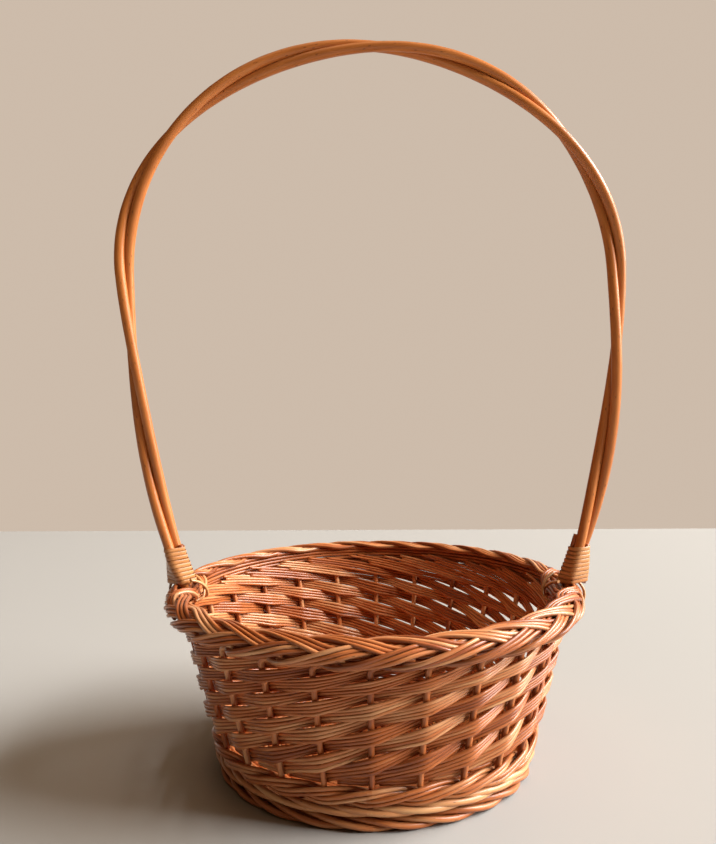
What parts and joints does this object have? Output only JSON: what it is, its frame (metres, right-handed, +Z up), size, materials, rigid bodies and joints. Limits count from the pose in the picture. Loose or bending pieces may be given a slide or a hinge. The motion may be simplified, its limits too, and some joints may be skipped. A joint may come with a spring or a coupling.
{
  "type": "flower basket",
  "caption": "Round tapered willow basket with a plaited border and a tall arched handle of twisted rods, for standing or carrying cut flowers, pot plants or gifts",
  "frame": {"origin": "on the table under the middle of the basket, at the bottom centre of its box", "axes": "+Z up along the basket's axis; +X in the plane of the handle, to the right in the picture; +Y away from the camera"},
  "size_m": [0.2862, 0.235, 0.4002],
  "materials": {
    "weaver_willow": "thin peeled willow rods, honey brown with a satin varnish",
    "stake_willow": "willow stakes, red brown with a satin varnish",
    "handle_willow": "thick peeled willow rods, orange tan, satin",
    "base_willow": "thick willow rods, brown, satin",
    "binding_cane": "split cane, pale tan, satin"
  },
  "bodies": {
    "root": {"foot_border": "base_willow", "base_cross": "base_willow", "base_weave": "base_willow", "upsett_wale_a": "weaver_willow", "upsett_wale_b": "weaver_willow", "upsett_wale_c": "weaver_willow", "side_stake_01": "stake_willow", "weaver_band_01": "weaver_willow", "side_stake_02": "stake_willow", "weaver_band_02": "weaver_willow", "side_stake_03": "stake_willow", "weaver_band_03": "weaver_willow", "side_stake_04": "stake_willow", "weaver_band_04": "weaver_willow", "side_stake_05": "stake_willow", "weaver_band_05": "weaver_willow", "side_stake_06": "stake_willow", "weaver_band_06": "weaver_willow", "side_stake_07": "stake_willow", "weaver_band_07": "weaver_willow", "side_stake_08": "stake_willow", "weaver_band_08": "weaver_willow", "side_stake_09": "stake_willow", "weaver_band_09": "weaver_willow", "side_stake_10": "stake_willow", "weaver_band_10": "weaver_willow", "side_stake_11": "stake_willow", "weaver_band_11": "weaver_willow", "side_stake_12": "stake_willow", "weaver_band_12": "weaver_willow", "side_stake_13": "stake_willow", "weaver_band_13": "weaver_willow", "side_stake_14": "stake_willow", "weaver_band_14": "weaver_willow", "side_stake_15": "stake_willow", "weaver_band_15": "weaver_willow", "side_stake_16": "stake_willow", "weaver_band_16": "weaver_willow", "side_stake_17": "stake_willow", "weaver_band_17": "weaver_willow", "side_stake_18": "stake_willow", "weaver_band_18": "weaver_willow", "side_stake_19": "stake_willow", "weaver_band_19": "weaver_willow", "side_stake_20": "stake_willow", "weaver_band_20": "weaver_willow", "side_stake_21": "stake_willow", "weaver_band_21": "weaver_willow", "side_stake_22": "stake_willow", "weaver_band_22": "weaver_willow", "side_stake_23": "stake_willow", "weaver_band_23": "weaver_willow", "side_stake_24": "stake_willow", "weaver_band_24": "weaver_willow", "border_filler_right": "stake_willow", "border_filler_left": "stake_willow", "handle_rod_a": "handle_willow", "handle_rod_b": "handle_willow", "handle_binding_left": "binding_cane", "handle_binding_right": "binding_cane"}
  },
  "joints": []
}
